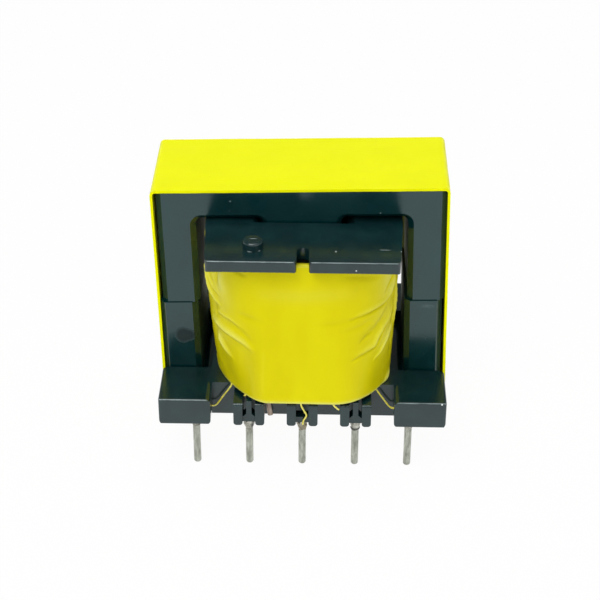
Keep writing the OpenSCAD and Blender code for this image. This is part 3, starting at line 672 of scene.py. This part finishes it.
# Core halves whose window is bevelled only on the front. At the back the bevel's outer edge is moved in, to
# the inner face of the legs on the lower half, and past it on the upper one.
WINDOW_HALF = CORE_W / 2 - LEG_W
REAR_EDGE = {"core_upper": WINDOW_HALF - 0.28, "core_lower": WINDOW_HALF + 0.02}
REAR_FROM = 4.9                        # points of the rear edges lie behind this
MOVED_FROM, MOVED_TO = 9.1, 10.3       # sideways from the core's middle, the points that are moved
MOVED_HIGH = 9.4                       # and how far up or down from it
BEVEL_EDGE = WINDOW_HALF + CORE_BEVEL


def make_half(node, shift):
    mesh = nodes[node].data.copy()
    mesh.name = node + "_half"
    squeeze = 1 - (REAR_EDGE[node] - MOVED_FROM) / (BEVEL_EDGE - MOVED_FROM)
    for vertex in mesh.vertices:
        x, y, z = (c / MM for c in vertex.co)
        dx, dz = x - CORE_AT[0], z - CORE_AT[1]
        side, up = dx * COS + dz * SIN - shift, dz * COS - dx * SIN
        if y >= REAR_FROM and MOVED_FROM < abs(side) < MOVED_TO and abs(up) < MOVED_HIGH:
            move = -math.copysign((abs(side) - MOVED_FROM) * squeeze, side)
            vertex.co.x += move * COS * MM
            vertex.co.z += move * SIN * MM
    stand_for(node + "_half", mesh, node)


make_half("core_upper", HALF_SHIFT / 2)
make_half("core_lower", -HALF_SHIFT / 2)


# ---- leads and tail -----------------------------------------------------------------------------

LEAD_D = 0.165
TAIL_W, TAIL_T = 0.5, 0.2
WIRE_SIDES, CURVE_STEPS = 14, 6
WIRE_WOBBLE = 0.06
CAP_RINGS = ((0.75, 0.6), (0.35, 0.9))  # a rounded end's rings: size, and how far out

IN_GROOVE = [(8.62, -8.46, 2.4), (9.01, -8.91, 2.26), (9.42, -9.36, 1.96), (9.62, -9.58, 1.56)]
LEFT_CORNER = [(6.72, -8.2, 4.72), (6.8, -8.25, 4.5), (7.45, -8.38, 3.59), (8.1, -8.4, 2.6),
               (8.42, -8.42, 2.38), *IN_GROOVE]
RIGHT_CORNER = [(6.75, -8.2, 4.72), (6.92, -8.3, 4.45), (7.5, -8.38, 3.6), (8.12, -8.4, 2.7),
                (8.4, -8.42, 2.44), *IN_GROOVE]
LEADS = {
    "lead_1": [(-x, y, z) for x, y, z in LEFT_CORNER],
    "lead_5": RIGHT_CORNER,
    "lead_6": [(x, -y, z) for x, y, z in LEFT_CORNER],
    "lead_10": [(-x, -y, z) for x, y, z in RIGHT_CORNER],
    "lead_2": [(-5.27, -9.9, 4.74), (-5.42, -9.85, 4.6), (-5.4, -9.6, 4.4), (-5.15, -9.3, 4.0),
               (-5.0, -9.25, 3.4), (-5.0, -9.2, 2.6), (-5.05, -9.3, 2.1), (-5.1, -9.4, 1.8)],
    "lead_3": [(-0.12, -11.1, 4.72), (-0.08, -11.1, 4.4), (0.16, -11.0, 3.8), (0.39, -10.85, 3.2),
               (0.32, -10.72, 2.8), (0.12, -10.62, 2.36), (0.06, -10.6, 1.95)],
    "lead_4": [(2.86, -11.05, 4.72), (2.92, -11.05, 4.5), (3.16, -10.95, 4.15), (3.41, -10.85, 3.85)],
}
TAIL = [(-3.31, -8.27, 4.7), (-3.31, -8.27, 3.9), (-3.28, -8.27, 3.0), (-3.19, -8.27, 2.1),
        (-3.1, -8.27, 1.5), (-3.07, -8.27, 1.3)]


def smooth(route):
    """Points on a smooth curve through the route."""
    points = [Vector(p) for p in route]
    padded = [points[0], *points, points[-1]]
    out = []
    for p0, p1, p2, p3 in zip(padded, padded[1:], padded[2:], padded[3:]):
        for t in (k / CURVE_STEPS for k in range(CURVE_STEPS)):
            out.append(0.5 * (2 * p1 + (p2 - p0) * t + (2 * p0 - 5 * p1 + 4 * p2 - p3) * t * t
                              + (3 * p1 - p0 - 3 * p2 + p3) * t ** 3))
    return out + [points[-1]]


def make_wire(name, node, route, wide, thick):
    path = smooth(route)
    rings, side = [], Vector((1, 0, 0))
    for i, at in enumerate(path):
        ahead = (path[min(i + 1, len(path) - 1)] - path[max(i - 1, 0)]).normalized()
        side = (side - side.dot(ahead) * ahead).normalized()
        up = ahead.cross(side)
        wobble = 1 + WIRE_WOBBLE * noise.noise(at * 2.3)
        rings.append([at + wobble * (wide / 2 * math.cos(a) * side + thick / 2 * math.sin(a) * up)
                      for a in (2 * math.pi * k / WIRE_SIDES for k in range(WIRE_SIDES))])

    def cap(end, out):
        mid, step = path[end], out.normalized() * thick / 2
        return [[mid + (p - mid) * size + step * far for p in rings[end]] for size, far in CAP_RINGS]

    rings = cap(0, path[0] - path[1])[::-1] + rings + cap(-1, path[-1] - path[-2])
    faces = tube_quads(WIRE_SIDES, len(rings)) + end_faces(WIRE_SIDES, len(rings))
    stand_for(name, make_mesh(name, [p for ring in rings for p in ring], faces, node), node)


for node, route in LEADS.items():
    make_wire(node + "_wire", node, route, LEAD_D, LEAD_D)
make_wire("tail_strip", "lead_tail", TAIL, TAIL_W, TAIL_T)


# ---- solder on the three middle pins of the front row -------------------------------------------

PIN_PITCH, FRONT_ROW_Y = 5, -10
BEAD_H = 1.0
BEAD_SIDES, BEAD_ROWS = 44, 30


def make_bead(node, at_x, profile, lump, seed, flat_front=-math.inf):
    """Lumpy bead round a pin. Its profile is fraction of the way down, and radius."""
    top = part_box(node)[1].z / MM
    points = []
    for k in range(BEAD_ROWS + 1):
        t = k / BEAD_ROWS
        radius = float(np.interp(t, *zip(*profile)))
        for turn in (2 * math.pi * i / BEAD_SIDES for i in range(BEAD_SIDES)):
            dx, dy = math.cos(turn), math.sin(turn)
            r = radius * (1 + lump * noise.noise(Vector((dx * 1.4, dy * 1.4, t * 2.2 + seed))))
            points.append((at_x + r * dx, FRONT_ROW_Y + max(r * dy, flat_front), top - t * BEAD_H))
    faces = tube_quads(BEAD_SIDES, BEAD_ROWS + 1) + end_faces(BEAD_SIDES, BEAD_ROWS + 1)
    name = node + "_bead"
    stand_for(name, make_mesh(name, points, faces, node), node)


make_bead("solder_2", -PIN_PITCH,
          [(0, 0.42), (0.12, 0.5), (0.4, 0.5), (0.65, 0.44), (0.85, 0.385), (1, 0.352)],
          lump=0.22, seed=1.3, flat_front=-0.41)
make_bead("solder_3", 0,
          [(0, 0.42), (0.15, 0.5), (0.45, 0.53), (0.7, 0.46), (0.88, 0.38), (1, 0.352)],
          lump=0.30, seed=5.1)
make_bead("solder_4", PIN_PITCH,
          [(0, 0.42), (0.12, 0.49), (0.5, 0.45), (0.66, 0.41), (0.8, 0.47), (0.92, 0.40), (1, 0.352)],
          lump=0.20, seed=8.7)


# ---- stage, in metres ---------------------------------------------------------------------------

FLOOR_HALF, FLOOR_Z = 3.0, cad_box[0].z
FLOOR_WHITE = 0.96  # share of plain white where the floor is seen or reflected; the rest shows the shadow
HORIZON, OVERHEAD = (0.22, 1.0), (0.46, 0.12)  # height on the sky, and grey
LAMPS = {  # place, size and power
    "key": ((-0.12, -0.25, 0.42), (0.30, 0.30), 1.3),
    "fill": ((0.30, -0.32, 0.22), (0.30, 0.30), 0.3),
    "top": ((0.0, 0.02, 0.5), (0.35, 0.30), 0.9),
}
LAMP_TARGET = (0, 0, 0.01)


def floor_material():
    n = new_material("floor")
    pale = n.mix(n.noise(n.place(), 0.05, detail=2), (0.86, 0.86, 0.86), (0.88, 0.88, 0.88))
    diffuse = n.add("ShaderNodeBsdfDiffuse", {"Color": pale}).outputs[0]
    white = n.add("ShaderNodeEmission", {"Color": (1, 1, 1), "Strength": 1.0}).outputs[0]
    ray = n.add("ShaderNodeLightPath").outputs
    seen = n.most(ray["Is Camera Ray"], ray["Is Glossy Ray"], ray["Is Transmission Ray"])
    n.surface(n.add("ShaderNodeMixShader", {0: n.math("MULTIPLY", seen, FLOOR_WHITE), 1: diffuse, 2: white}))
    return n.owner


def make_floor():
    mesh = bpy.data.meshes.new("floor")
    corners = [(x * FLOOR_HALF, y * FLOOR_HALF, FLOOR_Z) for x, y in ((-1, -1), (1, -1), (1, 1), (-1, 1))]
    mesh.from_pydata(corners, [], [(0, 1, 2, 3)])
    mesh.materials.append(floor_material())
    floor = bpy.data.objects.new("floor", mesh)
    bpy.context.collection.objects.link(floor)


def make_sky():
    """White near the horizon and darker overhead."""
    world = bpy.data.worlds.new("studio")
    bpy.context.scene.world = world
    n = Nodes(world, "ShaderNodeOutputWorld")
    ahead = n.add("ShaderNodeTexCoord").outputs["Generated"]
    height = n.add("ShaderNodeSeparateXYZ", {0: ahead}).outputs["Z"]
    n.surface(n.add("ShaderNodeBackground", {"Color": n.ramp(height, HORIZON, OVERHEAD), "Strength": 1.0}))


def make_lamp(name, at, size, power):
    data = bpy.data.lights.new(name, "AREA")
    data.shape = "RECTANGLE"
    data.size, data.size_y = size
    data.energy = power
    lamp = bpy.data.objects.new(name, data)
    bpy.context.collection.objects.link(lamp)
    lamp.location = at
    lamp.rotation_euler = (Vector(LAMP_TARGET) - Vector(at)).to_track_quat("-Z", "Y").to_euler()


make_floor()
make_sky()
for name, lamp in LAMPS.items():
    make_lamp(name, *lamp)
bpy.context.scene.view_settings.view_transform = "Standard"
